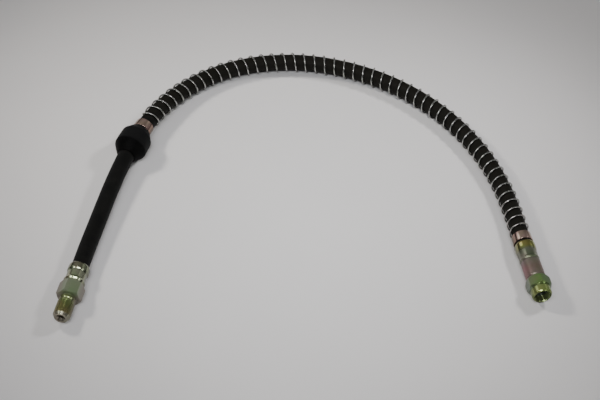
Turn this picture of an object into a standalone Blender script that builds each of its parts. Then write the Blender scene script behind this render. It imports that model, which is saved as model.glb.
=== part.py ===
"""Flexible brake hose: a rubber hose with a crimped fitting at each end, a wire spring guard
held between two metal bands, and a rubber collar that keeps the hose off its neighbours.

It lies flat in an open arch, as it does on a bench. Units are metres, +Z is up, and the
origin is under the middle of the whole line, on the surface that it lies on.
"""

import math

import bmesh
import bpy
import numpy as np
from mathutils import Matrix, Vector

# What every seat in the assembly leaves between two pieces
CLEARANCE = 0.0003
EDGE = 0.0003

# The route of the hose's middle from the mouth of one ferrule to the mouth of the other, with
# heights from the middle of a hexagon that lies on a flat. It climbs to the collar and then lies
# on the guard. At both ends the hexagon's turn gives the height.
ROUTE = [
    (-0.13035, -0.0777, 0.0007),
    (-0.1287, -0.0652, 0.00075),
    (-0.1260, -0.0474, 0.0011),
    (-0.1223, -0.0244, 0.0021),
    (-0.1180, -0.0012, 0.0031),
    (-0.1120, 0.0230, 0.0036),
    (-0.1032, 0.0470, 0.0030),
    (-0.0908, 0.0688, 0.0014),
    (-0.0749, 0.0866, 0.0001),
    (-0.0564, 0.0989, -0.0001),
    (-0.0363, 0.1063, -0.0001),
    (-0.0157, 0.1093, -0.0001),
    (0.0051, 0.1082, -0.0001),
    (0.0254, 0.1035, -0.0001),
    (0.0451, 0.0953, -0.0001),
    (0.0636, 0.0836, -0.0001),
    (0.0805, 0.0686, -0.0001),
    (0.0950, 0.0507, -0.0001),
    (0.1069, 0.0300, -0.0001),
    (0.1157, 0.0074, 0.0000),
    (0.1218, -0.0164, 0.00045),
    (0.1257, -0.0345, 0.0010),
]
MALE_HEADING = math.radians(82.2)
FEMALE_HEADING = math.radians(-76.2)

# Hose
HOSE_DIAMETER = 0.0101
HOSE_BORE = 0.0035
HOSE_RING_SPACING = 0.0075

# Crimped ferrules, one at each end of the hose
FERRULE_LENGTH = 0.013
FERRULE_WALL = 0.00095
FERRULE_END_WALL = 0.0012
CRIMP_DEPTH = 0.00065
CRIMP_JAWS = 8
CRIMP_START = 0.0056
CRIMP_END_RIM = 0.0024

# What both turned fittings have inside the ferrule and the hose
NIPPLE_WALL = 0.0005
NIPPLE_SETBACK = 0.0015
LOCK_RING_WIDTH = 0.0011
LOCK_GROOVE_DEPTH = 0.001

# Both fittings take the same spanner and have the same M10 x 1 thread. Each hexagon is turned
# this far round its axis from where one of its flats is level.
HEX_FLATS = 0.013
MALE_HEX_TURN = math.radians(13)
FEMALE_HEX_TURN = math.radians(-25)
THREAD_DIAMETER = 0.01
THREAD_PITCH = 0.001
THREAD_ALLOWANCE = 0.0001
THREAD_DEPTH_SHARE = 0.54

# Male fitting: hexagon, relief groove and thread, with a countersunk mouth
MALE_HEX_LENGTH = 0.0098
MALE_THREAD_LENGTH = 0.0133
MALE_RELIEF_WIDTH = 0.0012
MALE_RELIEF_DEPTH = 0.00065
MALE_TIP_CHAMFER = 0.001
MALE_BORE = 0.0032
MALE_SEAT_DEPTH = 0.0012

# Female fitting: round neck, hexagon and collar, with a threaded socket and a coned seat in it
FEMALE_NECK_DIAMETER = 0.0116
FEMALE_NECK_LENGTH = 0.013
FEMALE_HEX_LENGTH = 0.0077
FEMALE_COLLAR_WALL = 0.00095
FEMALE_COLLAR_LENGTH = 0.0048
SOCKET_DEPTH = 0.0143
SEAT_TRENCH = 0.0011
SEAT_RIM = 0.0005
SEAT_BORE = 0.0024

# Rubber collar on the hose
COLLAR_START = 0.0893
COLLAR_DIAMETER = 0.0201
COLLAR_FAR_DIAMETER = 0.0196
COLLAR_CONE_LENGTH = 0.0071
COLLAR_BODY_LENGTH = 0.0092
COLLAR_SHOULDER_LENGTH = 0.0053
COLLAR_LIP_WALL = 0.0013
COLLAR_ROUNDING = 0.0006

# Bands that keep the spring guard in its place
BAND_LENGTH = 0.0058
BAND_WALL = 0.0006
MALE_BAND_GAP = 0.001
FEMALE_BAND_GAP = 0.0014
MALE_BARE_STRETCH = 0.0045
FEMALE_BARE_STRETCH = 0.0015

# Spring guard
WIRE_DIAMETER = 0.001
GUARD_PITCH = 0.0067
GUARD_PULL = 0.018
GUARD_START_ANGLE = math.radians(-45)
POINTS_PER_TURN = 12

SIDES = 24
CHAMFER_SLOPE = math.tan(math.radians(30))
CURVE_SAMPLES = 60
TANGENT_REACH = 0.0005
EMPTY_SIZE = 0.02


def clear_scene():
    for old in list(bpy.data.objects):
        bpy.data.objects.remove(old, do_unlink=True)


def material(name, colour, roughness, metallic):
    """A Principled material in one colour."""
    made = bpy.data.materials.new(name)
    made.use_nodes = True
    shader = made.node_tree.nodes["Principled BSDF"]
    shader.inputs["Base Color"].default_value = (*colour, 1)
    shader.inputs["Roughness"].default_value = roughness
    shader.inputs["Metallic"].default_value = metallic
    return made


def add_object(name, data, finish, parent, place=None):
    data.materials.append(finish)
    made = bpy.data.objects.new(name, data)
    bpy.context.scene.collection.objects.link(made)
    made.parent = parent
    if place is not None:
        made.matrix_local = place
    return made


def add_empty(name, parent=None, place=None):
    made = bpy.data.objects.new(name, None)
    made.empty_display_size = EMPTY_SIZE
    bpy.context.scene.collection.objects.link(made)
    made.parent = parent
    if place is not None:
        made.matrix_local = place
    return made


# The hose's line


def smooth_curve(points, start_direction, end_direction):
    """Points of a smooth cubic curve through the route, and the length of hose up to each."""
    chord = np.linalg.norm(np.diff(points, axis=0), axis=1)
    count = len(points)
    rows = np.zeros((count, count))
    sums = np.zeros((count, 3))
    rows[0, 0] = rows[-1, -1] = 1
    sums[0], sums[-1] = start_direction, end_direction
    for i in range(1, count - 1):
        before, after = chord[i - 1], chord[i]
        rows[i, i - 1 : i + 2] = after, 2 * (before + after), before
        slope_before = (points[i] - points[i - 1]) / before
        slope_after = (points[i + 1] - points[i]) / after
        sums[i] = 3 * (after * slope_before + before * slope_after)
    slopes = np.linalg.solve(rows, sums)
    line = []
    for i in range(count - 1):
        for t in np.arange(CURVE_SAMPLES) / CURVE_SAMPLES:
            line.append(
                (2 * t**3 - 3 * t**2 + 1) * points[i]
                + (t**3 - 2 * t**2 + t) * chord[i] * slopes[i]
                + (3 * t**2 - 2 * t**3) * points[i + 1]
                + (t**3 - t**2) * chord[i] * slopes[i + 1]
            )
    line = np.array([*line, points[-1]])
    steps = np.linalg.norm(np.diff(line, axis=0), axis=1)
    return line, np.concatenate([[0], np.cumsum(steps)])


def heading_vector(angle):
    return np.array([math.cos(angle), math.sin(angle), 0])


def resting_height(hex_turn):
    """How high a fitting's middle lies when its hexagon, turned this far, stands on a corner."""
    off_corner = (hex_turn + math.pi / 6) % (math.pi / 3)
    off_corner = min(off_corner, math.pi / 3 - off_corner)
    return HEX_FLATS / 2 / math.cos(math.pi / 6) * math.cos(off_corner)


route = np.array(ROUTE) + [0, 0, HEX_FLATS / 2]
route[0, 2] = resting_height(MALE_HEX_TURN)
route[-1, 2] = resting_height(FEMALE_HEX_TURN)
LINE, LENGTHS = smooth_curve(
    route,
    heading_vector(MALE_HEADING),
    heading_vector(FEMALE_HEADING),
)
HOSE_LENGTH = LENGTHS[-1]


def hose_point(station):
    """The hose's middle this far from the male ferrule's mouth. Past a mouth it runs straight on."""
    if station < 0:
        return LINE[0] + station * heading_vector(MALE_HEADING)
    if station > HOSE_LENGTH:
        return LINE[-1] + (station - HOSE_LENGTH) * heading_vector(FEMALE_HEADING)
    return np.array([np.interp(station, LENGTHS, LINE[:, k]) for k in range(3)])


def hose_frame(station):
    """A matrix at that place on the hose: X along it, Z up and Y to its left."""
    before, after = hose_point(station - TANGENT_REACH), hose_point(station + TANGENT_REACH)
    along = Vector(after - before).normalized()
    left = Vector((0, 0, 1)).cross(along).normalized()
    up = along.cross(left)
    frame = Matrix((along, left, up)).transposed().to_4x4()
    frame.translation = Vector(hose_point(station))
    return frame


def mouth_frame(station, heading):
    """A level matrix at a ferrule's mouth, with X running out of the hose's end."""
    return Matrix.Translation(hose_point(station)) @ Matrix.Rotation(heading, 4, "Z")


# Turned pieces


def round_ring(x, radius):
    return [(x, radius)] * SIDES


def flat_sided_ring(x, across_flats, count, crest, chamfer=0):
    """A ring with flats, one of them at the bottom. No corner stands out past the crest.

    With a chamfer of 1 or -1 its corners lean towards +X or -X, as a turned chamfer cuts them.
    """
    ring = []
    for i in range(SIDES):
        angle = 2 * math.pi * i / SIDES
        turn = 2 * math.pi / count
        off_flat = (angle + turn / 2) % turn - turn / 2
        radius = min(across_flats / 2 / math.cos(off_flat), crest)
        ring.append((x + chamfer * (radius - across_flats / 2) * CHAMFER_SLOPE, radius))
    return ring


def hexagon_rings(start, end, across_flats):
    """A hexagon with a turned chamfer at both ends."""
    corner = across_flats
    rim = across_flats / 2 - EDGE
    step = EDGE * CHAMFER_SLOPE
    return [
        round_ring(start, rim),
        flat_sided_ring(start + step, across_flats, 6, corner, 1),
        flat_sided_ring(end - step, across_flats, 6, corner, -1),
        round_ring(end, rim),
    ]


def turned_mesh(name, rings, bend=None):
    """A closed mesh from a loop of rings: the outer surface one way and the bore back.

    Each ring is a list of (distance along X, radius), and bend moves a point off the straight
    X axis to where it belongs.
    """
    mesh = bpy.data.meshes.new(name)
    bm = bmesh.new()
    loops = []
    for ring in rings:
        loop = []
        for i, (x, radius) in enumerate(ring):
            angle = 2 * math.pi * i / SIDES
            point = Vector((x, radius * math.sin(angle), -radius * math.cos(angle)))
            loop.append(bm.verts.new(bend(point) if bend else point))
        loops.append(loop)
    for this, following in zip(loops, loops[1:] + loops[:1]):
        for i in range(SIDES):
            j = (i + 1) % SIDES
            bm.faces.new((this[i], this[j], following[j], following[i]))
    bmesh.ops.recalc_face_normals(bm, faces=bm.faces)
    bm.to_mesh(mesh)
    bm.free()
    mesh.shade_smooth()
    mesh.set_sharp_from_angle(angle=math.radians(28))
    return mesh


def piece_on_hose(name, rings, start, finish, parent):
    """A turned piece whose X axis follows the hose from a station on."""
    place = hose_frame(start)

    def bend(point):
        frame = hose_frame(start + point.x)
        return place.inverted() @ (frame @ Vector((0, point.y, point.z)))

    return add_object(name, turned_mesh(name, rings, bend), finish, parent, place)


# Sizes that follow from the driving ones

HOSE_RADIUS = HOSE_DIAMETER / 2
SEAT_RADIUS = HOSE_RADIUS + CLEARANCE
FERRULE_RADIUS = SEAT_RADIUS + FERRULE_WALL
FERRULE_FLOOR = FERRULE_LENGTH - FERRULE_END_WALL
NIPPLE_RADIUS = HOSE_BORE / 2 - CLEARANCE
NIPPLE_BORE = NIPPLE_RADIUS - NIPPLE_WALL
LOCK_RING_RADIUS = SEAT_RADIUS - CLEARANCE
LOCK_GROOVE_RADIUS = LOCK_RING_RADIUS - LOCK_GROOVE_DEPTH
LOCK_RING_END = FERRULE_FLOOR - CLEARANCE
HOSE_END = LOCK_RING_END - LOCK_RING_WIDTH - CLEARANCE
BODY_START = FERRULE_LENGTH + CLEARANCE

THREAD_RADIUS = THREAD_DIAMETER / 2
MALE_THREAD_RADIUS = THREAD_RADIUS - THREAD_ALLOWANCE / 2
RELIEF_RADIUS = MALE_THREAD_RADIUS - MALE_RELIEF_DEPTH
SOCKET_RADIUS = THREAD_RADIUS - THREAD_DEPTH_SHARE * THREAD_PITCH

COLLAR_LENGTH = COLLAR_CONE_LENGTH + COLLAR_BODY_LENGTH + COLLAR_SHOULDER_LENGTH
MALE_BAND_START = COLLAR_START + COLLAR_LENGTH + MALE_BAND_GAP
FEMALE_BAND_START = HOSE_LENGTH - FEMALE_BAND_GAP - BAND_LENGTH
GUARD_START = MALE_BAND_START + BAND_LENGTH + MALE_BARE_STRETCH
GUARD_END = FEMALE_BAND_START - FEMALE_BARE_STRETCH
GUARD_RADIUS = SEAT_RADIUS + WIRE_DIAMETER / 2


def make_hose(finish, parent):
    """The rubber hose, one body with its bore, from inside one ferrule to inside the other."""
    length = HOSE_LENGTH + 2 * HOSE_END
    count = round(length / HOSE_RING_SPACING) + 1
    curve = bpy.data.curves.new("hose", "CURVE")
    curve.dimensions = "3D"
    curve.bevel_depth = HOSE_RADIUS
    curve.bevel_resolution = 4
    spline = curve.splines.new("POLY")
    spline.points.add(count - 1)
    for i, point in enumerate(spline.points):
        station = -HOSE_END + length * i / (count - 1)
        point.co = (*hose_point(station), 1)
    spline.use_smooth = True
    made = add_object("hose", curve, finish, parent)
    wall = made.modifiers.new("wall", "SOLIDIFY")
    wall.thickness = HOSE_RADIUS - HOSE_BORE / 2
    wall.offset = -1
    wall.use_even_offset = True
    return made


def make_spring_guard(finish, parent):
    """The wire spring, wound right-handed round the hose, from band to band.

    Its coils are pulled a little apart at the male end.
    """
    turns = (GUARD_END - GUARD_START) / GUARD_PITCH
    count = round(turns * POINTS_PER_TURN)
    curve = bpy.data.curves.new("spring_guard", "CURVE")
    curve.dimensions = "3D"
    curve.bevel_depth = WIRE_DIAMETER / 2
    curve.bevel_resolution = 1
    curve.use_fill_caps = True
    spline = curve.splines.new("POLY")
    spline.points.add(count)
    for i, point in enumerate(spline.points):
        share = i / count
        angle = GUARD_START_ANGLE + 2 * math.pi * turns * share
        pull = GUARD_PULL * share * (1 - share) ** 4
        station = GUARD_START + (GUARD_END - GUARD_START) * share + pull
        off_middle = GUARD_RADIUS * Vector((0, -math.sin(angle), math.cos(angle)))
        point.co = (*(hose_frame(station) @ off_middle), 1)
    spline.use_smooth = True
    return add_object("spring_guard", curve, finish, parent)


def make_band(name, start, finish, parent):
    """A plain metal ring pressed on the hose."""
    radius = SEAT_RADIUS + BAND_WALL
    rings = [
        round_ring(0, SEAT_RADIUS),
        round_ring(0, radius - EDGE),
        round_ring(EDGE, radius),
        round_ring(BAND_LENGTH - EDGE, radius),
        round_ring(BAND_LENGTH, radius - EDGE),
        round_ring(BAND_LENGTH, SEAT_RADIUS),
        round_ring(BAND_LENGTH / 2, SEAT_RADIUS),
    ]
    return piece_on_hose(name, rings, start, finish, parent)


def make_rubber_collar(finish, parent):
    """The moulded collar: a cone up from the hose, a round body and a cone down to its lip."""
    radius = COLLAR_DIAMETER / 2
    far_radius = COLLAR_FAR_DIAMETER / 2
    lip = SEAT_RADIUS + COLLAR_LIP_WALL
    round_over = COLLAR_ROUNDING
    shoulder = COLLAR_CONE_LENGTH + COLLAR_BODY_LENGTH
    rings = [
        round_ring(0, SEAT_RADIUS),
        round_ring(0, SEAT_RADIUS + EDGE),
        round_ring(COLLAR_CONE_LENGTH - round_over, radius - round_over),
        round_ring(COLLAR_CONE_LENGTH, radius - EDGE / 2),
        round_ring(COLLAR_CONE_LENGTH + round_over, radius),
        round_ring(shoulder - round_over, far_radius),
        round_ring(shoulder, far_radius - EDGE / 2),
        round_ring(shoulder + round_over, far_radius - round_over),
        round_ring(COLLAR_LENGTH - EDGE, lip),
        round_ring(COLLAR_LENGTH, lip - EDGE),
        round_ring(COLLAR_LENGTH, SEAT_RADIUS),
        round_ring(COLLAR_LENGTH * 2 / 3, SEAT_RADIUS),
        round_ring(COLLAR_LENGTH / 3, SEAT_RADIUS),
    ]
    return piece_on_hose("rubber_collar", rings, COLLAR_START, finish, parent)


def make_ferrule(name, finish, parent):
    """The shell crimped over the hose's end. X runs outwards from its mouth."""
    crimp = FERRULE_RADIUS - CRIMP_DEPTH
    crimp_end = FERRULE_LENGTH - CRIMP_END_RIM
    ramp = 2 * CRIMP_DEPTH

    def jaw_ring(x):
        return flat_sided_ring(x, 2 * crimp, CRIMP_JAWS, FERRULE_RADIUS)

    rings = [
        round_ring(0, SEAT_RADIUS),
        round_ring(0, SEAT_RADIUS + FERRULE_WALL / 2),
        round_ring(EDGE, FERRULE_RADIUS - EDGE),
        round_ring(3 * EDGE, FERRULE_RADIUS),
        round_ring(CRIMP_START - ramp, FERRULE_RADIUS),
        jaw_ring(CRIMP_START),
        jaw_ring(crimp_end),
        round_ring(crimp_end + ramp, FERRULE_RADIUS),
        round_ring(FERRULE_LENGTH - 2 * EDGE, FERRULE_RADIUS),
        round_ring(FERRULE_LENGTH, FERRULE_RADIUS - 2 * EDGE),
        round_ring(FERRULE_LENGTH, LOCK_GROOVE_RADIUS + CLEARANCE),
        round_ring(FERRULE_FLOOR, LOCK_GROOVE_RADIUS + CLEARANCE),
        round_ring(FERRULE_FLOOR, SEAT_RADIUS),
    ]
    return add_object(name, turned_mesh(name, rings), finish, parent)


def nipple_rings():
    """The tube that holds the hose open, and the ring that the ferrule is crimped behind."""
    return [
        round_ring(NIPPLE_SETBACK, NIPPLE_BORE),
        round_ring(NIPPLE_SETBACK, NIPPLE_RADIUS - EDGE / 2),
        round_ring(NIPPLE_SETBACK + EDGE, NIPPLE_RADIUS),
        round_ring(LOCK_RING_END - LOCK_RING_WIDTH, NIPPLE_RADIUS),
        round_ring(LOCK_RING_END - LOCK_RING_WIDTH, LOCK_RING_RADIUS),
        round_ring(LOCK_RING_END, LOCK_RING_RADIUS),
        round_ring(LOCK_RING_END, LOCK_GROOVE_RADIUS),
        round_ring(BODY_START, LOCK_GROOVE_RADIUS),
    ]


def make_male_fitting(finish, parent):
    """Hexagon and threaded stub. The thread is left at its outer diameter, between chamfers."""
    hex_end = BODY_START + MALE_HEX_LENGTH
    relief_end = hex_end + MALE_RELIEF_WIDTH
    tip = relief_end + MALE_THREAD_LENGTH
    thread = MALE_THREAD_RADIUS
    bore = MALE_BORE / 2
    rings = nipple_rings()
    rings += hexagon_rings(BODY_START, hex_end, HEX_FLATS)
    rings += [
        round_ring(hex_end, RELIEF_RADIUS),
        round_ring(relief_end, RELIEF_RADIUS),
        round_ring(relief_end + thread - RELIEF_RADIUS, thread),
        round_ring(tip - MALE_TIP_CHAMFER, thread),
        round_ring(tip, thread - MALE_TIP_CHAMFER),
        round_ring(tip, bore + MALE_SEAT_DEPTH),
        round_ring(tip - MALE_SEAT_DEPTH, bore),
        round_ring(BODY_START, bore),
        round_ring(BODY_START - (bore - NIPPLE_BORE), NIPPLE_BORE),
    ]
    place = Matrix.Rotation(-MALE_HEX_TURN, 4, "X")
    return add_object("male_fitting", turned_mesh("male_fitting", rings), finish, parent, place)


def make_female_fitting(finish, parent):
    """Neck, hexagon and collar, with the socket that a pipe's nut screws into."""
    neck_end = BODY_START + FEMALE_NECK_LENGTH
    hex_end = neck_end + FEMALE_HEX_LENGTH
    mouth = hex_end + FEMALE_COLLAR_LENGTH
    floor = mouth - SOCKET_DEPTH
    neck = FEMALE_NECK_DIAMETER / 2
    collar = THREAD_RADIUS + FEMALE_COLLAR_WALL
    bore = SEAT_BORE / 2
    seat_base = SOCKET_RADIUS - SEAT_TRENCH
    seat_tip = bore + SEAT_RIM
    seat_top = floor + seat_base - seat_tip
    rings = nipple_rings()
    rings += [
        round_ring(BODY_START, neck - EDGE),
        round_ring(BODY_START + EDGE, neck),
        round_ring(neck_end, neck),
    ]
    rings += hexagon_rings(neck_end, hex_end, HEX_FLATS)
    rings += [
        round_ring(hex_end, collar),
        round_ring(mouth - EDGE, collar),
        round_ring(mouth, collar - EDGE),
        round_ring(mouth, THREAD_RADIUS),
        round_ring(mouth - (THREAD_RADIUS - SOCKET_RADIUS), SOCKET_RADIUS),
        round_ring(floor, SOCKET_RADIUS),
        round_ring(floor, seat_base),
        round_ring(seat_top, seat_tip),
        round_ring(seat_top, bore),
        round_ring(BODY_START, bore),
        round_ring(BODY_START - (bore - NIPPLE_BORE), NIPPLE_BORE),
    ]
    place = Matrix.Rotation(-FEMALE_HEX_TURN, 4, "X")
    return add_object("female_fitting", turned_mesh("female_fitting", rings), finish, parent, place)


clear_scene()

rubber = material("hose rubber", (0.022, 0.022, 0.023), 0.62, 0)
collar_rubber = material("collar rubber", (0.018, 0.019, 0.021), 0.55, 0)
spring_steel = material("spring steel", (0.60, 0.60, 0.58), 0.32, 1)
band_plate = material("pink zinc plate", (0.74, 0.56, 0.45), 0.25, 1)
ferrule_plate = material("ferrule zinc plate", (0.52, 0.54, 0.22), 0.28, 1)
fitting_plate = material("fitting zinc plate", (0.46, 0.50, 0.24), 0.28, 1)

assembly = add_empty("brake_hose")
male_end = add_empty("male_end", assembly, mouth_frame(0, MALE_HEADING + math.pi))
female_end = add_empty("female_end", assembly, mouth_frame(HOSE_LENGTH, FEMALE_HEADING))

make_hose(rubber, assembly)
make_rubber_collar(collar_rubber, assembly)
make_band("male_end_band", MALE_BAND_START, band_plate, assembly)
make_band("female_end_band", FEMALE_BAND_START, band_plate, assembly)
make_spring_guard(spring_steel, assembly)
make_ferrule("male_ferrule", ferrule_plate, male_end)
make_male_fitting(fitting_plate, male_end)
make_ferrule("female_ferrule", ferrule_plate, female_end)
make_female_fitting(fitting_plate, female_end)
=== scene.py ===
"""A flexible brake hose lying in an open arch on a sheet of pale paper.

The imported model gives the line's solid pieces. The sections below make each of them again as it
is made in the workshop, in the order in which a line is put together, and give it its finish.
Lengths are metres. The line lies on Z = 0, and its two fittings point towards -Y.
"""

import math

import bpy
import numpy as np
from mathutils import Matrix, Vector


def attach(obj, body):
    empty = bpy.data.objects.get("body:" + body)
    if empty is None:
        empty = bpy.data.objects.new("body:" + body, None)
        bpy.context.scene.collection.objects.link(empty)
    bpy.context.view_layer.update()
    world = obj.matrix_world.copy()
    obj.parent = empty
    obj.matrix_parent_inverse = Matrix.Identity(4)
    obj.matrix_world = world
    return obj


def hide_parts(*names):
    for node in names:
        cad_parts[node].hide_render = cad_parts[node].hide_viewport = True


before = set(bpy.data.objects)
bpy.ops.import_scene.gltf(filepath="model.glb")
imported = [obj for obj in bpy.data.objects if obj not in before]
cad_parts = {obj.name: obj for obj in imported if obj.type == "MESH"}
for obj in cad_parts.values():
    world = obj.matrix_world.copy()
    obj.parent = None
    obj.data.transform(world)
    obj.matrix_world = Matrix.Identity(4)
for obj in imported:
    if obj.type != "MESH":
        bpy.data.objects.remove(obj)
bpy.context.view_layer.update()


# The camera
#
# It stands in front of the arch and looks down on it, rolled a little to one side as it was
# held by hand. Its angles are radians.

CAMERA_PLACE = (-0.00806, -0.65823, 0.71414)
CAMERA_DOWN = 0.830246569
CAMERA_ROLL = 0.0789608366
CAMERA_LENS = 96

camera_data = bpy.data.cameras.new("camera")
camera_data.lens = CAMERA_LENS
camera_data.clip_start = 0.01
camera = bpy.data.objects.new("camera", camera_data)
bpy.context.scene.collection.objects.link(camera)
camera.matrix_world = (
    Matrix.Translation(CAMERA_PLACE)
    @ Matrix.Rotation(math.pi / 2 - CAMERA_DOWN, 4, "X")
    @ Matrix.Rotation(CAMERA_ROLL, 4, "Z")
)
bpy.context.scene.camera = camera


# The hose
#
# One length of black rubber over a braid, extruded with a smooth dull skin. Its route runs from
# the mouth of one ferrule to the mouth of the other, and its cut ends lie inside the ferrules.

HEX_FLATS = 0.013
MALE_HEX_TURN = math.radians(13)
FEMALE_HEX_TURN = math.radians(-25)
HOSE_ROUTE = [
    (-0.13035, -0.0777, 0.0007),
    (-0.1287, -0.0652, 0.00075),
    (-0.1260, -0.0474, 0.0011),
    (-0.1223, -0.0244, 0.0021),
    (-0.1180, -0.0012, 0.0031),
    (-0.1120, 0.0230, 0.0036),
    (-0.1032, 0.0470, 0.0030),
    (-0.0908, 0.0688, 0.0014),
    (-0.0749, 0.0866, 0.0001),
    (-0.0564, 0.0989, -0.0001),
    (-0.0363, 0.1063, -0.0001),
    (-0.0157, 0.1093, -0.0001),
    (0.0051, 0.1082, -0.0001),
    (0.0254, 0.1035, -0.0001),
    (0.0451, 0.0953, -0.0001),
    (0.0636, 0.0836, -0.0001),
    (0.0805, 0.0686, -0.0001),
    (0.0950, 0.0507, -0.0001),
    (0.1069, 0.0300, -0.0001),
    (0.1157, 0.0074, 0.0000),
    (0.1218, -0.0164, 0.00045),
    (0.1257, -0.0345, 0.0010),
]
MALE_HEADING = math.radians(82.2)
FEMALE_HEADING = math.radians(-76.2)
HOSE_RADIUS = 0.00505
HOSE_BORE_RADIUS = 0.00175
HOSE_IN_FERRULE = 0.0091
HOSE_RING_SPACING = 0.002
RUBBER_RELIEF = 0.00002
CURVE_SAMPLES = 60
TANGENT_REACH = 0.0005


def smooth_line(points, start_direction, end_direction):
    """Points of a smooth cubic curve through the route, and the length of hose up to each."""
    chord = np.linalg.norm(np.diff(points, axis=0), axis=1)
    count = len(points)
    rows = np.zeros((count, count))
    sums = np.zeros((count, 3))
    rows[0, 0] = rows[-1, -1] = 1
    sums[0], sums[-1] = start_direction, end_direction
    for i in range(1, count - 1):
        before, after = chord[i - 1], chord[i]
        rows[i, i - 1 : i + 2] = after, 2 * (before + after), before
        slope_before = (points[i] - points[i - 1]) / before
        slope_after = (points[i + 1] - points[i]) / after
        sums[i] = 3 * (after * slope_before + before * slope_after)
    slopes = np.linalg.solve(rows, sums)
    line = []
    for i in range(count - 1):
        for t in np.arange(CURVE_SAMPLES) / CURVE_SAMPLES:
            line.append(
                (2 * t**3 - 3 * t**2 + 1) * points[i]
                + (t**3 - 2 * t**2 + t) * chord[i] * slopes[i]
                + (3 * t**2 - 2 * t**3) * points[i + 1]
                + (t**3 - t**2) * chord[i] * slopes[i + 1]
            )
    line = np.array([*line, points[-1]])
    steps = np.linalg.norm(np.diff(line, axis=0), axis=1)
    return line, np.concatenate([[0], np.cumsum(steps)])


def heading_vector(angle):
    """A level direction, this far round from +X."""
    return np.array([math.cos(angle), math.sin(angle), 0])


def resting_height(hex_turn):
    """How high a fitting's middle lies when its hexagon, turned this far, stands on a corner."""
    off_corner = (hex_turn + math.pi / 6) % (math.pi / 3)
    off_corner = min(off_corner, math.pi / 3 - off_corner)
    return HEX_FLATS / 2 / math.cos(math.pi / 6) * math.cos(off_corner)


route = np.array(HOSE_ROUTE) + [0, 0, HEX_FLATS / 2]
route[0, 2] = resting_height(MALE_HEX_TURN)
route[-1, 2] = resting_height(FEMALE_HEX_TURN)
hose_line, line_lengths = smooth_line(
    route, heading_vector(MALE_HEADING), heading_vector(FEMALE_HEADING)
)
free_length = line_lengths[-1]


def hose_point(station):
    """The hose's middle this far from the male ferrule's mouth."""
    if station < 0:
        return hose_line[0] + station * heading_vector(MALE_HEADING)
    if station > free_length:
        return hose_line[-1] + (station - free_length) * heading_vector(FEMALE_HEADING)
    return np.array([np.interp(station, line_lengths, hose_line[:, k]) for k in range(3)])


def hose_frame(station):
    """A matrix at that place on the hose: X along it, Z up and Y to its left."""
    before, after = hose_point(station - TANGENT_REACH), hose_point(station + TANGENT_REACH)
    along = Vector(after - before).normalized()
    left = Vector((0, 0, 1)).cross(along).normalized()
    up = along.cross(left)
    matrix = Matrix((along, left, up)).transposed().to_4x4()
    matrix.translation = Vector(hose_point(station))
    return matrix


def pick_only(piece):
    """Leaves this piece alone selected and active, so that an operator acts on nothing else."""
    bpy.ops.object.select_all(action="DESELECT")
    piece.select_set(True)
    bpy.context.view_layer.objects.active = piece


def drawn_line(name, points, radius, roundness):
    """A round wire or tube drawn along the points, as a curve object."""
    data = bpy.data.curves.new(name, "CURVE")
    data.dimensions = "3D"
    data.bevel_depth = radius
    data.bevel_resolution = roundness
    spline = data.splines.new("POLY")
    spline.points.add(len(points) - 1)
    for knot, point in zip(spline.points, points):
        knot.co = (*point, 1)
    spline.use_smooth = True
    made = bpy.data.objects.new(name, data)
    bpy.context.scene.collection.objects.link(made)
    return made


hose_length = free_length + 2 * HOSE_IN_FERRULE
hose_count = round(hose_length / HOSE_RING_SPACING)
hose_path = [
    hose_point(-HOSE_IN_FERRULE + hose_length * i / hose_count) for i in range(hose_count + 1)
]
hose = drawn_line("rubber_hose", hose_path, HOSE_RADIUS, roundness=10)
hose_wall = hose.modifiers.new("wall", "SOLIDIFY")
hose_wall.thickness = HOSE_RADIUS - HOSE_BORE_RADIUS
hose_wall.offset = -1
hose_wall.use_even_offset = True
pick_only(hose)
bpy.ops.object.convert(target="MESH")


def new_material(name, metallic=0):
    """A Principled material. Returns it with its tree and its shader."""
    made = bpy.data.materials.new(name)
    made.use_nodes = True
    shader = made.node_tree.nodes["Principled BSDF"]
    shader.inputs["Metallic"].default_value = metallic
    return made, made.node_tree, shader


def add_node(tree, kind, settings=None, inputs=None):
    """A node with its settings and the values of its unlinked inputs."""
    made = tree.nodes.new(kind)
    for name, value in (settings or {}).items():
        setattr(made, name, value)
    for name, value in (inputs or {}).items():
        made.inputs[name].default_value = value
    return made


def new_group(name, inputs, outputs):
    """A node group with named sockets. Returns it with its input node and its output node."""
    group = bpy.data.node_groups.new(name, "ShaderNodeTree")
    for socket, kind, value in inputs:
        made = group.interface.new_socket(socket, in_out="INPUT", socket_type=kind)
        made.default_value = value
    for socket, kind in outputs:
        group.interface.new_socket(socket, in_out="OUTPUT", socket_type=kind)
    return group, group.nodes.new("NodeGroupInput"), group.nodes.new("NodeGroupOutput")


FINISH_OUTPUTS = [
    ("Colour", "NodeSocketColor"),
    ("Roughness", "NodeSocketFloat"),
    ("Height", "NodeSocketFloat"),
]

# Black rubber: lines that the die drew along it, a mottled skin and a little dust
rubber_skin, start, end = new_group(
    "rubber skin",
    [
        ("Place", "NodeSocketVector", (0, 0, 0)),
        ("Rubber", "NodeSocketColor", (0.0045, 0.0045, 0.0045, 1)),
        ("Dust", "NodeSocketColor", (0.022, 0.021, 0.019, 1)),
        ("Dull", "NodeSocketFloat", 0.6),
    ],
    FINISH_OUTPUTS,
)
drawn = add_node(rubber_skin, "ShaderNodeMapping", inputs={"Scale": (0.03, 1, 1)})
lines = add_node(rubber_skin, "ShaderNodeTexNoise", inputs={"Scale": 1400, "Detail": 2})
mottle = add_node(rubber_skin, "ShaderNodeTexNoise", inputs={"Scale": 170, "Detail": 4})
specks = add_node(rubber_skin, "ShaderNodeTexNoise", inputs={"Scale": 1900, "Detail": 3})
dusty = add_node(
    rubber_skin, "ShaderNodeMapRange", inputs={"From Min": 0.56, "From Max": 0.74, "To Max": 0.55}
)
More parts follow.
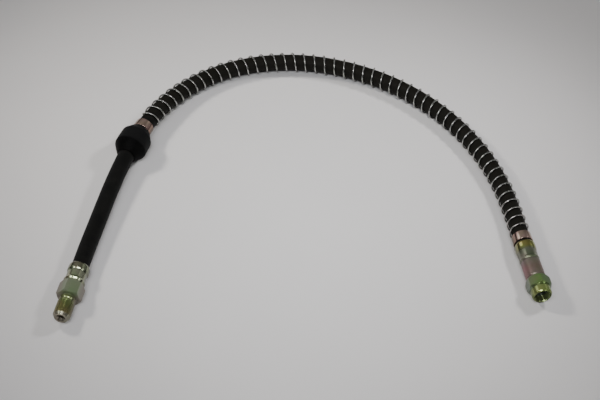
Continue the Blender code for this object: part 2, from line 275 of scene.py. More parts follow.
worn = add_node(
    rubber_skin, "ShaderNodeMapRange", inputs={"From Min": 0.3, "From Max": 0.7, "To Max": 0.35}
)
either = add_node(rubber_skin, "ShaderNodeMath", {"operation": "MULTIPLY_ADD"})
mixed = add_node(rubber_skin, "ShaderNodeMix", {"data_type": "RGBA"})
uneven = add_node(rubber_skin, "ShaderNodeMath", {"operation": "MULTIPLY_ADD"}, {1: 0.14})
relief = add_node(rubber_skin, "ShaderNodeMath", {"operation": "MULTIPLY_ADD"}, {1: 0.6})
for source, target in (
    (start.outputs["Place"], drawn.inputs["Vector"]),
    (drawn.outputs["Vector"], lines.inputs["Vector"]),
    (start.outputs["Place"], mottle.inputs["Vector"]),
    (start.outputs["Place"], specks.inputs["Vector"]),
    (specks.outputs["Fac"], dusty.inputs["Value"]),
    (mottle.outputs["Fac"], worn.inputs["Value"]),
    (worn.outputs["Result"], either.inputs[0]),
    (mottle.outputs["Fac"], either.inputs[1]),
    (dusty.outputs["Result"], either.inputs[2]),
    (either.outputs[0], mixed.inputs["Factor"]),
    (start.outputs["Rubber"], mixed.inputs["A"]),
    (start.outputs["Dust"], mixed.inputs["B"]),
    (mixed.outputs["Result"], end.inputs["Colour"]),
    (mottle.outputs["Fac"], uneven.inputs[0]),
    (start.outputs["Dull"], uneven.inputs[2]),
    (uneven.outputs[0], end.inputs["Roughness"]),
    (specks.outputs["Fac"], relief.inputs[0]),
    (lines.outputs["Fac"], relief.inputs[2]),
    (relief.outputs[0], end.inputs["Height"]),
):
    rubber_skin.links.new(source, target)


def place_group(material_tree, shader, group, place, relief_depth, values):
    """Puts a finish group between a place on the piece and the material's shader."""
    made = add_node(material_tree, "ShaderNodeGroup", {"node_tree": group}, values)
    bump = add_node(
        material_tree, "ShaderNodeBump", inputs={"Strength": 1, "Distance": relief_depth}
    )
    material_tree.links.new(place, made.inputs["Place"])
    material_tree.links.new(made.outputs["Colour"], shader.inputs["Base Color"])
    material_tree.links.new(made.outputs["Roughness"], shader.inputs["Roughness"])
    material_tree.links.new(made.outputs["Height"], bump.inputs["Height"])
    material_tree.links.new(bump.outputs["Normal"], shader.inputs["Normal"])
    return made


def tint_along(material_tree, place, tints):
    """A colour that changes along a piece, from a list of (how far along, colour)."""
    first, last = tints[0][0], tints[-1][0]
    split = material_tree.nodes.new("ShaderNodeSeparateXYZ")
    share = add_node(
        material_tree, "ShaderNodeMapRange", inputs={"From Min": first, "From Max": last}
    )
    ramp = material_tree.nodes.new("ShaderNodeValToRGB")
    for along, colour in tints[1:-1]:
        ramp.color_ramp.elements.new((along - first) / (last - first))
    for element, (along, colour) in zip(ramp.color_ramp.elements, tints):
        element.position = (along - first) / (last - first)
        element.color = (*colour, 1)
    material_tree.links.new(place, split.inputs["Vector"])
    material_tree.links.new(split.outputs["X"], share.inputs["Value"])
    material_tree.links.new(share.outputs["Result"], ramp.inputs["Fac"])
    return ramp.outputs["Color"]


def dress(piece, material, node):
    """Gives a finished piece its material, its body and slot, and the solid that it replaces."""
    piece.data.materials.clear()
    piece.data.materials.append(material)
    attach(piece, "root")
    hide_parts(node)


hose_rubber, tree, shader = new_material("hose rubber")
shader.inputs["Specular IOR Level"].default_value = 0.1
unrolled = add_node(tree, "ShaderNodeUVMap", {"uv_map": "UVMap"})
unrolled_metres = add_node(
    tree, "ShaderNodeMapping", inputs={"Scale": (hose_length, 2 * math.pi * HOSE_RADIUS, 1)}
)
tree.links.new(unrolled.outputs["UV"], unrolled_metres.inputs["Vector"])
place = unrolled_metres.outputs["Vector"]
skin = place_group(tree, shader, rubber_skin, place, RUBBER_RELIEF, {"Dull": 0.55})
# Painted light: the rubber is lighter and browner along the spring guard, where light from the
# wires falls on it
tint = tint_along(
    tree,
    place,
    [
        (0.0, (0.0045, 0.0048, 0.0047)),
        (0.125, (0.0045, 0.0048, 0.0047)),
        (0.14, (0.0085, 0.008, 0.0062)),
        (0.47, (0.0085, 0.008, 0.0062)),
    ],
)
tree.links.new(tint, skin.inputs["Rubber"])
dress(hose, hose_rubber, "hose")


# The male fitting
#
# Turned from 13 mm hexagon bar: a nipple inside the hose, the hexagon, a relief groove and an
# M10 x 1 thread with a countersunk mouth. It is zinc plated and passivated yellow-green.

NIPPLE_END = 0.0015
NIPPLE_BORE_RADIUS = 0.00095
NIPPLE_RADIUS = 0.00145
LOCK_RING_START = 0.0104
LOCK_RING_END = 0.0115
LOCK_RING_RADIUS = 0.00505
LOCK_GROOVE_RADIUS = 0.00405
BODY_START = 0.0133
HEX_RIM_RADIUS = 0.0062
MALE_HEX_END = 0.0231
MALE_CHAMFER_SLOPE = math.tan(math.radians(42))
SHANK_RADIUS = 0.0048
RELIEF_RADIUS = 0.0042
MALE_CUT_START = 0.0264
MALE_THREAD_START = 0.0267
MALE_THREAD_END = 0.0361
MALE_THREAD_RADIUS = 0.00495
MALE_TIP = 0.0376
MALE_BORE_RADIUS = 0.0016
THREAD_PITCH = 0.001
THREAD_DEPTH = 0.00061
THREAD_FLAT = 0.08
PLATE_GRAIN = 0.000004
TURN_STEPS = 96
ROUNDING_STEPS = 4
ROUNDING_LIMIT = 0.45
RINGS_PER_PITCH = 14
MERGE_DISTANCE = 0.000002
SMOOTH_ANGLE = math.radians(32)

# A little past the flats' corners, so that the six flats meet in sharp edges
HEX_STOCK_RADIUS = 0.0076


def rounded(outline):
    """Points of an outline of (along, radius, reach) corners, each rounded over its reach."""
    points = []
    count = len(outline)
    for i, (along, radius, reach) in enumerate(outline):
        corner = Vector((along, radius))
        if reach == 0:
            points.append(corner)
            continue
        before = Vector(outline[i - 1][:2]) - corner
        after = Vector(outline[(i + 1) % count][:2]) - corner
        first = corner + before.normalized() * min(reach, before.length * ROUNDING_LIMIT)
        last = corner + after.normalized() * min(reach, after.length * ROUNDING_LIMIT)
        for k in range(ROUNDING_STEPS + 1):
            s = k / ROUNDING_STEPS
            points.append((1 - s) ** 2 * first + 2 * s * (1 - s) * corner + s * s * last)
    return points


def turned(name, points):
    """A closed outline of (along, radius) points, spun once round the X axis."""
    bpy.ops.object.select_all(action="DESELECT")
    bpy.ops.mesh.primitive_circle_add(vertices=len(points), radius=HEX_FLATS)
    piece = bpy.context.active_object
    piece.name = name
    for vertex, (along, radius) in zip(piece.data.vertices, points):
        vertex.co = (along, 0, radius)
    bpy.ops.object.mode_set(mode="EDIT")
    bpy.ops.mesh.select_all(action="SELECT")
    bpy.ops.mesh.spin(steps=TURN_STEPS, angle=2 * math.pi, center=(0, 0, 0), axis=(1, 0, 0))
    bpy.ops.mesh.select_all(action="SELECT")
    bpy.ops.mesh.remove_doubles(threshold=MERGE_DISTANCE)
    bpy.ops.mesh.normals_make_consistent(inside=False)
    bpy.ops.object.mode_set(mode="OBJECT")
    return piece


def mill_hexagon(piece, turn):
    """Cuts the six flats, the first of them turned this far from the top."""
    bpy.ops.object.mode_set(mode="EDIT")
    for i in range(6):
        angle = turn + math.pi * i / 3
        outward = Vector((0, math.sin(angle), math.cos(angle)))
        bpy.ops.mesh.select_all(action="SELECT")
        bpy.ops.mesh.bisect(
            plane_co=outward * HEX_FLATS / 2, plane_no=outward, use_fill=True, clear_outer=True
        )
    bpy.ops.object.mode_set(mode="OBJECT")


def hexagon_corners(start, end, chamfer_slope, rim_reach):
    """The hexagon's part of an outline, chamfered at both ends."""
    chamfer = (HEX_STOCK_RADIUS - HEX_RIM_RADIUS) * chamfer_slope
    return [
        (start, HEX_RIM_RADIUS, rim_reach),
        (start + chamfer, HEX_STOCK_RADIUS, 0),
        (end - chamfer, HEX_STOCK_RADIUS, 0),
        (end, HEX_RIM_RADIUS, 0.0002),
    ]


def thread_rings(start, end, radius):
    """The thread's part of an outline, with points close enough to follow each turn."""
    count = round((end - start) / THREAD_PITCH * RINGS_PER_PITCH)
    return [Vector((start + (end - start) * i / count, radius)) for i in range(count + 1)]


def ease(value):
    """0 up to 1 with a soft start and end."""
    value = min(max(value, 0), 1)
    return value * value * (3 - 2 * value)


def cut_thread(piece, start, end, crest, inwards):
    """Sinks a right-handed thread into what lies between start and end at the crest's radius.

    A male thread is cut inwards, and a female one outwards. Crests and roots are a little flat.
    """
    for vertex in piece.data.vertices:
        x, y, z = vertex.co
        radius = math.hypot(y, z)
        if not start < x < end or abs(radius - crest) > THREAD_DEPTH / 8:
            continue
        turn = math.atan2(y, z) / (2 * math.pi)
        off_crest = abs((x / THREAD_PITCH - turn) % 1 - 0.5) * 2
        share = ease((off_crest - THREAD_FLAT) / (1 - 2 * THREAD_FLAT))
        run_out = min((x - start) / THREAD_PITCH, (end - x) / THREAD_PITCH, 1)
        depth = THREAD_DEPTH * share * run_out
        wanted = radius - depth if inwards else radius + depth
        vertex.co.y *= wanted / radius
        vertex.co.z *= wanted / radius


def end_matrix(station, heading):
    """A level matrix at a ferrule's mouth, with X running out of the hose's end."""
    return Matrix.Translation(hose_point(station)) @ Matrix.Rotation(heading, 4, "Z")


male_end = end_matrix(0, MALE_HEADING + math.pi)
female_end = end_matrix(free_length, FEMALE_HEADING)


def settle(piece, bend):
    """Keeps the straight piece's coordinates for its pattern, and moves it to its place."""
    pattern = piece.data.attributes.new("straight", "FLOAT_VECTOR", "POINT")
    for vertex, kept in zip(piece.data.vertices, pattern.data):
        kept.vector = vertex.co
        vertex.co = bend(vertex.co)
    pick_only(piece)
    bpy.ops.object.shade_smooth_by_angle(angle=SMOOTH_ANGLE)


# Passivated zinc plate: patches of other tints in a thin clear skin, over a fine grain. The
# flush gathers on the -Y side of a piece. The low shade is painted shade: it darkens the piece
# and takes over from its top downwards.
FLUSH_LEAN = -30
SHADE_PAINT_FULL = 0.0012
SHADE_PAINT_GONE = 0.0064

zinc_skin, start, end = new_group(
    "passivated zinc",
    [
        ("Place", "NodeSocketVector", (0, 0, 0)),
        ("Body", "NodeSocketColor", (0.4, 0.42, 0.2, 1)),
        ("Cast", "NodeSocketColor", (0.3, 0.36, 0.27, 1)),
        ("Flush", "NodeSocketColor", (0.5, 0.3, 0.28, 1)),
        ("Low shade", "NodeSocketColor", (0.17, 0.17, 0.14, 1)),
        ("Patches", "NodeSocketFloat", 120),
        ("Dull", "NodeSocketFloat", 0.24),
    ],
    FINISH_OUTPUTS,
)
cast = add_node(zinc_skin, "ShaderNodeTexNoise", inputs={"Detail": 3, "Distortion": 0.5})
cast_share = add_node(zinc_skin, "ShaderNodeMapRange", inputs={"From Min": 0.4, "From Max": 0.6})
aside = add_node(zinc_skin, "ShaderNodeMapping", inputs={"Location": (0.31, 0.77, 0.13)})
flush = add_node(zinc_skin, "ShaderNodeTexNoise", inputs={"Detail": 3, "Distortion": 0.5})
leaning = add_node(zinc_skin, "ShaderNodeMath", {"operation": "MULTIPLY_ADD"}, {1: FLUSH_LEAN})
flush_share = add_node(
    zinc_skin, "ShaderNodeMapRange", inputs={"From Min": 0.5, "From Max": 0.68, "To Max": 0.8}
)
grain = add_node(zinc_skin, "ShaderNodeTexNoise", inputs={"Scale": 2600, "Detail": 3})
grain_shade = add_node(zinc_skin, "ShaderNodeMapRange", inputs={"To Min": 0.8, "To Max": 1.15})
cast_over = add_node(zinc_skin, "ShaderNodeMix", {"data_type": "RGBA"})
flush_over = add_node(zinc_skin, "ShaderNodeMix", {"data_type": "RGBA"})
split = zinc_skin.nodes.new("ShaderNodeSeparateXYZ")
# Painted shade: the colour turns to the low shade from the top of the piece downwards
painted_shade_share = add_node(
    zinc_skin,
    "ShaderNodeMapRange",
    inputs={"From Min": SHADE_PAINT_FULL, "From Max": SHADE_PAINT_GONE, "To Min": 0.85, "To Max": 0},
)
shade_painted = add_node(zinc_skin, "ShaderNodeMix", {"data_type": "RGBA"})
grained = add_node(zinc_skin, "ShaderNodeVectorMath", {"operation": "SCALE"})
uneven = add_node(zinc_skin, "ShaderNodeMath", {"operation": "MULTIPLY_ADD"}, {1: 0.12})
for source, target in (
    (start.outputs["Place"], cast.inputs["Vector"]),
    (start.outputs["Patches"], cast.inputs["Scale"]),
    (start.outputs["Place"], aside.inputs["Vector"]),
    (aside.outputs["Vector"], flush.inputs["Vector"]),
    (start.outputs["Patches"], flush.inputs["Scale"]),
    (start.outputs["Place"], grain.inputs["Vector"]),
    (cast.outputs["Fac"], cast_share.inputs["Value"]),
    (split.outputs["Y"], leaning.inputs[0]),
    (flush.outputs["Fac"], leaning.inputs[2]),
    (leaning.outputs[0], flush_share.inputs["Value"]),
    (grain.outputs["Fac"], grain_shade.inputs["Value"]),
    (cast_share.outputs["Result"], cast_over.inputs["Factor"]),
    (start.outputs["Body"], cast_over.inputs["A"]),
    (start.outputs["Cast"], cast_over.inputs["B"]),
    (flush_share.outputs["Result"], flush_over.inputs["Factor"]),
    (cast_over.outputs["Result"], flush_over.inputs["A"]),
    (start.outputs["Flush"], flush_over.inputs["B"]),
    (flush_over.outputs["Result"], shade_painted.inputs["A"]),
    (start.outputs["Low shade"], shade_painted.inputs["B"]),
    (shade_painted.outputs["Result"], grained.inputs["Vector"]),
    (start.outputs["Place"], split.inputs["Vector"]),
    (split.outputs["Z"], painted_shade_share.inputs["Value"]),
    (painted_shade_share.outputs["Result"], shade_painted.inputs["Factor"]),
    (grain_shade.outputs["Result"], grained.inputs["Scale"]),
    (grained.outputs["Vector"], end.inputs["Colour"]),
    (cast.outputs["Fac"], uneven.inputs[0]),
    (start.outputs["Dull"], uneven.inputs[2]),
    (uneven.outputs[0], end.inputs["Roughness"]),
    (grain.outputs["Fac"], end.inputs["Height"]),
):
    zinc_skin.links.new(source, target)


def straight_place(material_tree):
    """Where a point lay on the straight piece, before it was put in its place."""
    made = add_node(material_tree, "ShaderNodeAttribute", {"attribute_name": "straight"})
    return made.outputs["Vector"]


PATCH_GAINS = (("Body", (1, 1, 1)), ("Cast", (0.8, 0.95, 0.75)), ("Flush", (1.12, 0.9, 1.0)))


def patchy_tints(material_tree, skin, place, tints):
    """Gives each kind of patch in the plate its own shade of the tints along the piece."""
    for socket, gains in PATCH_GAINS:
        shades = [(along, [v * gain for v, gain in zip(tint, gains)]) for along, tint in tints]
        material_tree.links.new(tint_along(material_tree, place, shades), skin.inputs[socket])


def values_along(material_tree, place, values, socket):
    """Sets a socket from a list of (how far along, value)."""
    greys = [(along, (value,) * 3) for along, value in values]
    material_tree.links.new(tint_along(material_tree, place, greys), socket)


male_plate, tree, shader = new_material("male fitting plate")
place = straight_place(tree)
# Its low shade is a painted shade with a pink cast on the lower flanks
skin = place_group(
    tree, shader, zinc_skin, place, PLATE_GRAIN, {"Low shade": (0.17, 0.145, 0.125, 1), "Patches": 110}
)
# Painted shade darkens the relief groove under the hexagon. The tip is lighter, partly its plate
# and partly a painted highlight.
patchy_tints(
    tree,
    skin,
    place,
    [
        (0.013, (0.26, 0.26, 0.21)),
        (0.0225, (0.23, 0.27, 0.18)),
        (0.0245, (0.16, 0.21, 0.06)),
        (0.027, (0.33, 0.38, 0.15)),
        (0.034, (0.38, 0.39, 0.15)),
        (0.0358, (0.36, 0.36, 0.15)),
        (0.0364, (0.44, 0.50, 0.34)),
        (0.038, (0.44, 0.50, 0.34)),
    ],
)
values_along(
    tree, place, [(0.013, 0.26), (0.0235, 0.26), (0.025, 0.1), (0.038, 0.1)], skin.inputs["Dull"]
)
values_along(
    tree,
    place,
    [(0.013, 0.45), (0.0235, 0.45), (0.025, 0.72), (0.038, 0.8)],
    shader.inputs["Metallic"],
)

# Both fittings have the same nipple and lock ring, and the same step in the bore behind them
NIPPLE_CORNERS = [
    (NIPPLE_END, NIPPLE_BORE_RADIUS, 0),
    (NIPPLE_END, NIPPLE_RADIUS, 0.0002),
    (LOCK_RING_START, NIPPLE_RADIUS, 0),
    (LOCK_RING_START, LOCK_RING_RADIUS, 0),
    (LOCK_RING_END, LOCK_RING_RADIUS, 0),
    (LOCK_RING_END, LOCK_GROOVE_RADIUS, 0),
    (BODY_START, LOCK_GROOVE_RADIUS, 0),
]


def bore_step(bore_radius):
    """The last part of an outline, where the bore narrows to the nipple's."""
    return [(0.0140, bore_radius, 0), (0.0127, NIPPLE_BORE_RADIUS, 0)]


male_outline = rounded(
    [
        *NIPPLE_CORNERS,
        *hexagon_corners(BODY_START, MALE_HEX_END, MALE_CHAMFER_SLOPE, 0.0002),
        (MALE_HEX_END, SHANK_RADIUS, 0.0001),
        (0.0248, SHANK_RADIUS, 0.0002),
        (0.0257, RELIEF_RADIUS, 0.0002),
        (0.0262, RELIEF_RADIUS, 0.0001),
    ]
)
male_outline += thread_rings(MALE_THREAD_START, MALE_THREAD_END, MALE_THREAD_RADIUS)
male_outline += rounded(
    [
        (MALE_TIP, 0.0039, 0.0001),
        (MALE_TIP, 0.0028, 0.0001),
        (0.0364, MALE_BORE_RADIUS, 0.0001),
        *bore_step(MALE_BORE_RADIUS),
    ]
)
male_fitting = turned("male_end_fitting", male_outline)
mill_hexagon(male_fitting, MALE_HEX_TURN)
cut_thread(male_fitting, MALE_CUT_START, MALE_THREAD_END, MALE_THREAD_RADIUS, inwards=True)
settle(male_fitting, lambda point: male_end @ point)
dress(male_fitting, male_plate, "male_fitting")


# The ferrules
#
# Drawn steel cups, zinc plated, pushed over the hose's ends and crimped behind the fitting's
# lock ring by eight jaws. The jaws leave flats, with a low ridge between each two.

SEAT_RADIUS = 0.00535
FERRULE_RADIUS = 0.0063
FERRULE_LENGTH = 0.013
FERRULE_FLOOR = 0.0118
FERRULE_HOLE_RADIUS = 0.00435
CRIMP_JAWS = 8
CRIMP_DEPTH = 0.00075
CRIMP_RIDGE = 0.4
CRIMP_ZONE_START = 0.0038
CRIMP_ZONE_LENGTH = 0.0076
CRIMP_RINGS = 36

ferrule_plates = {}
# The male ferrule's mouth is painted darker than its waist, a painted dark reflection on its crest
for name, mouth, waist, dullness in (
    ("male ferrule plate", (0.30, 0.32, 0.22), (0.50, 0.53, 0.36), 0.12),
    ("female ferrule plate", (0.38, 0.39, 0.12), (0.31, 0.33, 0.24), 0.3),
):
    ferrule_plates[name], tree, shader = new_material(name, metallic=1)
    place = straight_place(tree)
    skin = place_group(tree, shader, zinc_skin, place, PLATE_GRAIN, {"Patches": 90})
    dull_along = [(0, 0.08), (0.005, 0.08), (0.007, dullness), (FERRULE_LENGTH, dullness)]
    values_along(tree, place, dull_along, skin.inputs["Dull"])
    tints = [(0, mouth), (0.0045, mouth), (0.0065, waist), (FERRULE_LENGTH, waist)]
    patchy_tints(tree, skin, place, tints)

crimp_zone = [
    (CRIMP_ZONE_START + CRIMP_ZONE_LENGTH * i / CRIMP_RINGS, FERRULE_RADIUS, 0)
    for i in range(CRIMP_RINGS + 1)
]
ferrule_outline = rounded(
    [
        (0.0, SEAT_RADIUS, 0.0001),
        (0.0, 0.0059, 0.0002),
        (0.0009, FERRULE_RADIUS, 0.0004),
        *crimp_zone,
        (0.0115, FERRULE_RADIUS, 0.0002),
        (0.0123, 0.00575, 0.0001),
        (FERRULE_LENGTH, 0.0055, 0.0003),
        (FERRULE_LENGTH, FERRULE_HOLE_RADIUS, 0.0001),
        (FERRULE_FLOOR, FERRULE_HOLE_RADIUS, 0),
        (FERRULE_FLOOR, SEAT_RADIUS, 0),
    ]
)


def crimp(piece, start, slope, end, end_slope):
    """Presses the eight flats round the waist, which runs out over a slope at each end.

    The ridges between the flats keep only a share of a sharp corner's height.
    """
    for vertex in piece.data.vertices:
        x, y, z = vertex.co
        radius = math.hypot(y, z)
        if radius < FERRULE_RADIUS - CRIMP_DEPTH / 2:
            continue
        pressed = ease((x - start) / slope) * ease((end - x) / end_slope)
        if pressed == 0:
            continue
        jaw = 2 * math.pi / CRIMP_JAWS
        off_flat = (math.atan2(y, z) + jaw / 2) % jaw - jaw / 2
        waist = FERRULE_RADIUS - CRIMP_DEPTH
        wanted = waist + CRIMP_RIDGE * (waist / math.cos(off_flat) - waist)
        radius_now = radius + (wanted - radius) * pressed
        vertex.co.y *= radius_now / radius
        vertex.co.z *= radius_now / radius


# The last values say where the flats start and end, each with the length of its slope
for name, hose_end, plate, node, press in (
    (
        "male_crimped_ferrule",
        male_end,
        "male ferrule plate",
        "male_ferrule",
        (0.0040, 0.0014, 0.0112, 0.0013),
    ),
    (
        "female_crimped_ferrule",
        female_end,
        "female ferrule plate",
        "female_ferrule",
        (0.0032, 0.0050, 0.0127, 0.0022),
    ),
):
    ferrule = turned(name, ferrule_outline)
    crimp(ferrule, *press)
    settle(ferrule, lambda point: hose_end @ point)
    dress(ferrule, ferrule_plates[plate], node)


# The rubber collar
#
# A moulded rubber sleeve, pushed along the hose before the second fitting went on. It keeps the
# hose off what it passes.

COLLAR_START = 0.0893
COLLAR_LENGTH = 0.0216

collar_rubber, tree, shader = new_material("collar rubber")
shader.inputs["Specular IOR Level"].default_value = 0.05
place = straight_place(tree)
# Its dust is set darker, so that the painted shade on the lower cone stays dark
skin = place_group(
    tree,
    shader,
    rubber_skin,
    place,
    RUBBER_RELIEF,
    {"Dust": (0.013, 0.013, 0.013, 1), "Dull": 0.5},
)
# The lower cone is painted near black as painted shade; past it the rubber has its own tone
tint = tint_along(
    tree,
    place,
    [
        (0.0, (0.0008, 0.0008, 0.0008)),
        (0.0064, (0.001, 0.001, 0.001)),
        (0.0076, (0.0085, 0.0087, 0.009)),
        (COLLAR_LENGTH, (0.0095, 0.0097, 0.010)),
    ],
)
tree.links.new(tint, skin.inputs["Rubber"])


def along_hose(start):
    """Bends a straight piece so that its X axis follows the hose from a station on."""

    def bend(point):
        return hose_frame(start + point.x) @ Vector((0, point.y, point.z))

    return bend


collar_outline = rounded(
    [
        (0.0, SEAT_RADIUS, 0),
        (0.0, 0.00565, 0.0001),
        (0.0040, 0.0083, 0),
        (0.0071, 0.01005, 0.0006),
        (0.0118, 0.00992, 0),
        (0.0163, 0.0098, 0.0006),
        (0.0190, 0.0082, 0),
        (COLLAR_LENGTH, 0.00665, 0.0003),
        (COLLAR_LENGTH, SEAT_RADIUS, 0),
        (0.0144, SEAT_RADIUS, 0),
        (0.0072, SEAT_RADIUS, 0),
    ]
)
collar = turned("moulded_collar", collar_outline)
settle(collar, along_hose(COLLAR_START))
dress(collar, collar_rubber, "rubber_collar")


# The bands
#
# Short steel rings, zinc plated with a pink tint, pressed on the hose. One stands beside the
# collar and one beside the female ferrule, and they keep the spring between them.

BAND_LENGTH = 0.0058
BAND_RADIUS = 0.00595
THIN_PLATE_GRAIN = 0.000003
MALE_BAND_GAP = 0.001
FEMALE_BAND_GAP = 0.0014
MALE_BAND_START = COLLAR_START + COLLAR_LENGTH + MALE_BAND_GAP
FEMALE_BAND_START = free_length - FEMALE_BAND_GAP - BAND_LENGTH

# The band's low shade is a dark painted shade on its lower sides
band_plate, tree, shader = new_material("band plate", metallic=1)
place_group(
    tree,
    shader,
    zinc_skin,
    straight_place(tree),
    THIN_PLATE_GRAIN,
    {
        "Body": (0.62, 0.44, 0.39, 1),
        "Cast": (0.55, 0.43, 0.32, 1),
        "Flush": (0.57, 0.36, 0.34, 1),
        "Low shade": (0.08, 0.06, 0.035, 1),
        "Patches": 110,
        "Dull": 0.12,
    },
)

band_outline = rounded(
    [
        (0.0, SEAT_RADIUS, 0.00008),
        (0.0, BAND_RADIUS, 0.0003),
        (0.0031, BAND_RADIUS, 0),
        (BAND_LENGTH, BAND_RADIUS, 0.0003),
        (BAND_LENGTH, SEAT_RADIUS, 0.00008),
        (0.0031, SEAT_RADIUS, 0),
    ]
)
for name, start, node in (
    ("male_side_band", MALE_BAND_START, "male_end_band"),
    ("female_side_band", FEMALE_BAND_START, "female_end_band"),
):
    band = turned(name, band_outline)
    settle(band, along_hose(start))
    dress(band, band_plate, node)


# The spring guard
#
# One millimetre spring wire, wound right-handed over the hose from band to band. Its coils are
# pulled a little apart at the male end.

WIRE_RADIUS = 0.0005
GUARD_RADIUS = SEAT_RADIUS + WIRE_RADIUS
GUARD_PITCH = 0.0067
GUARD_PULL = 0.018
GUARD_START_ANGLE = math.radians(-45)
MALE_BARE_STRETCH = 0.0045
FEMALE_BARE_STRETCH = 0.0015
GUARD_START = MALE_BAND_START + BAND_LENGTH + MALE_BARE_STRETCH
GUARD_END = FEMALE_BAND_START - FEMALE_BARE_STRETCH
POINTS_PER_TURN = 32

# Its low shade paints the lower side of each coil a little darker, as painted shade
spring_steel, tree, shader = new_material("spring steel", metallic=1)
place_group(
    tree,
    shader,
    zinc_skin,
    add_node(tree, "ShaderNodeTexCoord").outputs["Object"],
    THIN_PLATE_GRAIN,
    {
        "Body": (0.42, 0.42, 0.41, 1),
        "Cast": (0.38, 0.39, 0.36, 1),
        "Flush": (0.42, 0.40, 0.38, 1),
        "Low shade": (0.30, 0.30, 0.29, 1),
        "Patches": 160,
        "Dull": 0.2,
    },
)

turns = (GUARD_END - GUARD_START) / GUARD_PITCH
guard_count = round(turns * POINTS_PER_TURN)
guard_points = []
for i in range(guard_count + 1):
    share = i / guard_count
    angle = GUARD_START_ANGLE + 2 * math.pi * turns * share
    pulled = GUARD_PULL * share * (1 - share) ** 4
    station = GUARD_START + (GUARD_END - GUARD_START) * share + pulled
    off_middle = GUARD_RADIUS * Vector((0, -math.sin(angle), math.cos(angle)))
    guard_points.append(hose_frame(station) @ off_middle)
guard = drawn_line("spring_wire", guard_points, WIRE_RADIUS, roundness=3)
guard.data.use_fill_caps = True
pick_only(guard)
bpy.ops.object.convert(target="MESH")
dress(guard, spring_steel, "spring_guard")


# The female fitting
#
# Turned from the same bar: a nipple inside the hose, a round neck, the hexagon and a collar,
# with a socket for a pipe's nut and a coned seat in its floor. Its plating is as the male one's.

NECK_RADIUS = 0.0058
GROOVE_RADIUS = 0.0051
FEMALE_HEX_START = 0.0263
FEMALE_HEX_END = 0.0340
FEMALE_CHAMFER_SLOPE = math.tan(math.radians(53))
END_COLLAR_RADIUS = 0.00595
FEMALE_MOUTH = 0.0388
SOCKET_RADIUS = 0.00446
SOCKET_FLOOR = 0.0245
SOCKET_THREAD_START = 0.0265
SOCKET_THREAD_END = 0.03826
SOCKET_CUT_START = 0.0264
SOCKET_CUT_END = 0.0387
SEAT_RIM = 0.02616
FEMALE_BORE_RADIUS = 0.0012

female_plate, tree, shader = new_material("female fitting plate")
place = straight_place(tree)
skin = place_group(tree, shader, zinc_skin, place, PLATE_GRAIN, {"Patches": 110})
patchy_tints(
    tree,
    skin,
    place,
    [
        (0.013, (0.18, 0.16, 0.145)),
        (0.020, (0.19, 0.14, 0.125)),
        (0.0255, (0.18, 0.16, 0.13)),
        (0.0265, (0.12, 0.19, 0.07)),
        (0.034, (0.13, 0.20, 0.06)),
        (0.0345, (0.28, 0.38, 0.12)),
        (0.039, (0.31, 0.41, 0.12)),
    ],
)
# Painted shade for the lower flanks, red along the neck and greener on the collar
low_shade_tints = tint_along(
    tree,
    place,
    [
        (0.013, (0.18, 0.14, 0.14)),
        (0.019, (0.22, 0.09, 0.10)),
        (0.0255, (0.20, 0.11, 0.115)),
        (0.027, (0.14, 0.16, 0.14)),
        (0.034, (0.14, 0.16, 0.14)),
        (0.0345, (0.14, 0.17, 0.08)),
        (0.039, (0.14, 0.17, 0.08)),
    ],
)
tree.links.new(low_shade_tints, skin.inputs["Low shade"])
values_along(
    tree, place, [(0.013, 0.34), (0.0325, 0.25), (0.0335, 0.12), (0.039, 0.1)], skin.inputs["Dull"]
)
values_along(
    tree,
    place,
    [(0.013, 0.45), (0.0325, 0.5), (0.0335, 0.72), (0.039, 0.72)],
    shader.inputs["Metallic"],
)

female_outline = rounded(
    [
        *NIPPLE_CORNERS,
        (BODY_START, NECK_RADIUS, 0.0003),
        (0.0249, NECK_RADIUS, 0.0002),
        (0.0259, GROOVE_RADIUS, 0.0002),
        (FEMALE_HEX_START, GROOVE_RADIUS, 0.0001),
        *hexagon_corners(FEMALE_HEX_START, FEMALE_HEX_END, FEMALE_CHAMFER_SLOPE, 0.0001),
        (FEMALE_HEX_END, END_COLLAR_RADIUS, 0.0001),
        (0.0378, END_COLLAR_RADIUS, 0.0004),
        (FEMALE_MOUTH, 0.00525, 0.0001),
        (FEMALE_MOUTH, 0.0050, 0.0001),
    ]
)
female_outline += reversed(thread_rings(SOCKET_THREAD_START, SOCKET_THREAD_END, SOCKET_RADIUS))
female_outline += rounded(
    [
        (SOCKET_FLOOR, SOCKET_RADIUS, 0),
        (SOCKET_FLOOR, 0.00336, 0.0001),
        (SEAT_RIM, 0.0017, 0.0001),
        (SEAT_RIM, FEMALE_BORE_RADIUS, 0.0001),
        *bore_step(FEMALE_BORE_RADIUS),
    ]
)
female_fitting = turned("female_end_fitting", female_outline)
mill_hexagon(female_fitting, FEMALE_HEX_TURN)
cut_thread(female_fitting, SOCKET_CUT_START, SOCKET_CUT_END, SOCKET_RADIUS, inwards=False)
settle(female_fitting, lambda point: female_end @ point)
dress(female_fitting, female_plate, "female_fitting")


# The paper and the lamps
#
# The line lies on a plain sheet of pale paper. A soft lamp stands over the camera with a small
# lamp in front of it, and a lamp on each side throws a shadow towards the inside of the arch.

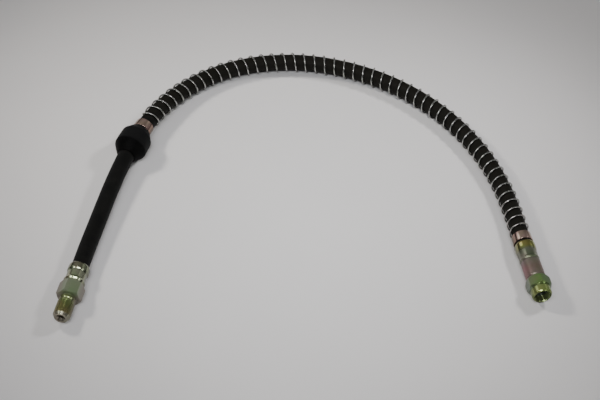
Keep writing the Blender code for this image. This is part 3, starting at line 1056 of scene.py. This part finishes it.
bpy.ops.object.select_all(action="DESELECT")
bpy.ops.mesh.primitive_plane_add(size=6)
paper = bpy.context.active_object
paper.name = "paper"
paper_finish, tree, shader = new_material("paper")
shader.inputs["Roughness"].default_value = 0.9
cloudy = add_node(tree, "ShaderNodeTexNoise", inputs={"Scale": 22, "Detail": 5})
pulp = add_node(
    tree,
    "ShaderNodeMix",
    {"data_type": "RGBA"},
    {"A": (0.785, 0.785, 0.79, 1), "B": (0.815, 0.815, 0.81, 1)},
)
tree.links.new(add_node(tree, "ShaderNodeTexCoord").outputs["Object"], cloudy.inputs["Vector"])
tree.links.new(cloudy.outputs["Fac"], pulp.inputs["Factor"])
tree.links.new(pulp.outputs["Result"], shader.inputs["Base Color"])
paper.data.materials.append(paper_finish)


def add_lamp(name, kind, place, aim, power, colour):
    """A lamp that shines from a place towards a point."""
    data = bpy.data.lights.new(name, kind)
    data.energy = power
    data.color = colour
    lamp = bpy.data.objects.new(name, data)
    bpy.context.scene.collection.objects.link(lamp)
    lamp.location = place
    lamp.rotation_euler = (Vector(aim) - Vector(place)).to_track_quat("-Z", "Y").to_euler()
    return lamp


soft_box = add_lamp("soft box", "AREA", (-0.124, -1.008, 1.45), (0, 0, 0), 12.4, (1.02, 1, 1.02))
soft_box.data.shape = "RECTANGLE"
soft_box.data.size = 0.95
soft_box.data.size_y = 0.25

# Three spots with soft rims, which no reflection shows
for name, place, aim, power, colour, spread, width in (
    ("fill lamp", (-0.03, -0.38, 0.62), (0, -0.03, 0), 8.6, (0.95, 1, 1.04), 23, 0.12),
    ("left lamp", (-0.42, 0.13, 0.42), (0.065, 0.01, 0), 6.7, (1.04, 0.98, 0.91), 64, 0.05),
    ("right lamp", (0.33, 0.21, 0.42), (0, -0.03, 0), 5.5, (1, 0.96, 0.95), 51, 0.045),
):
    spot = add_lamp(name, "SPOT", place, aim, power, colour)
    spot.data.spot_size = math.radians(spread)
    spot.data.spot_blend = 1
    spot.data.shadow_soft_size = width
    spot.visible_glossy = False

# The room gives a faint even light, and reflections show it brighter upwards and to the left
world = bpy.data.worlds.new("room")
bpy.context.scene.world = world
world.use_nodes = True
room = world.node_tree
outward = room.nodes.new("ShaderNodeTexCoord")
split = room.nodes.new("ShaderNodeSeparateXYZ")
height = add_node(
    room,
    "ShaderNodeMapRange",
    {"interpolation_type": "SMOOTHSTEP"},
    {"From Min": 0.1, "From Max": 0.75, "To Min": 0.09, "To Max": 0.26},
)
sideways = add_node(
    room,
    "ShaderNodeMapRange",
    inputs={"From Min": -0.5, "From Max": 0.4, "To Min": 1.5, "To Max": 0.8},
)
seen = add_node(room, "ShaderNodeMath", {"operation": "MULTIPLY"})
ray = room.nodes.new("ShaderNodeLightPath")
shade = add_node(
    room, "ShaderNodeMix", {"data_type": "RGBA"}, {"A": (0.034, 0.034, 0.034, 1)}
)
for source, target in (
    (outward.outputs["Generated"], split.inputs["Vector"]),
    (split.outputs["Z"], height.inputs["Value"]),
    (split.outputs["X"], sideways.inputs["Value"]),
    (height.outputs["Result"], seen.inputs[0]),
    (sideways.outputs["Result"], seen.inputs[1]),
    (ray.outputs["Is Glossy Ray"], shade.inputs["Factor"]),
    (shade.outputs["Result"], room.nodes["Background"].inputs["Color"]),
):
    room.links.new(source, target)

# Two windows, two small panels and a pale wall, which are seen only as reflections
brightness = seen.outputs[0]
for direction, edge, core, glow in (
    ((-0.73, 0.42, 0.54), 0.965, 0.992, 1.4),
    ((0.60, 0.60, 0.49), 0.965, 0.992, 0.7),
    ((-0.62, -0.33, 0.71), 0.985, 0.997, 7),
    ((0.70, -0.45, 0.55), 0.985, 0.997, 6),
    ((0.86, 0.47, 0.26), 0.80, 0.97, 0.2),
):
    towards = add_node(room, "ShaderNodeVectorMath", {"operation": "DOT_PRODUCT"})
    towards.inputs[1].default_value = direction
    pane = add_node(
        room,
        "ShaderNodeMapRange",
        {"interpolation_type": "SMOOTHSTEP"},
        {"From Min": edge, "From Max": core, "To Max": glow},
    )
    added = add_node(room, "ShaderNodeMath", {"operation": "ADD"})
    room.links.new(outward.outputs["Generated"], towards.inputs[0])
    room.links.new(towards.outputs["Value"], pane.inputs["Value"])
    room.links.new(pane.outputs["Result"], added.inputs[0])
    room.links.new(brightness, added.inputs[1])
    brightness = added.outputs[0]
room.links.new(brightness, shade.inputs["B"])
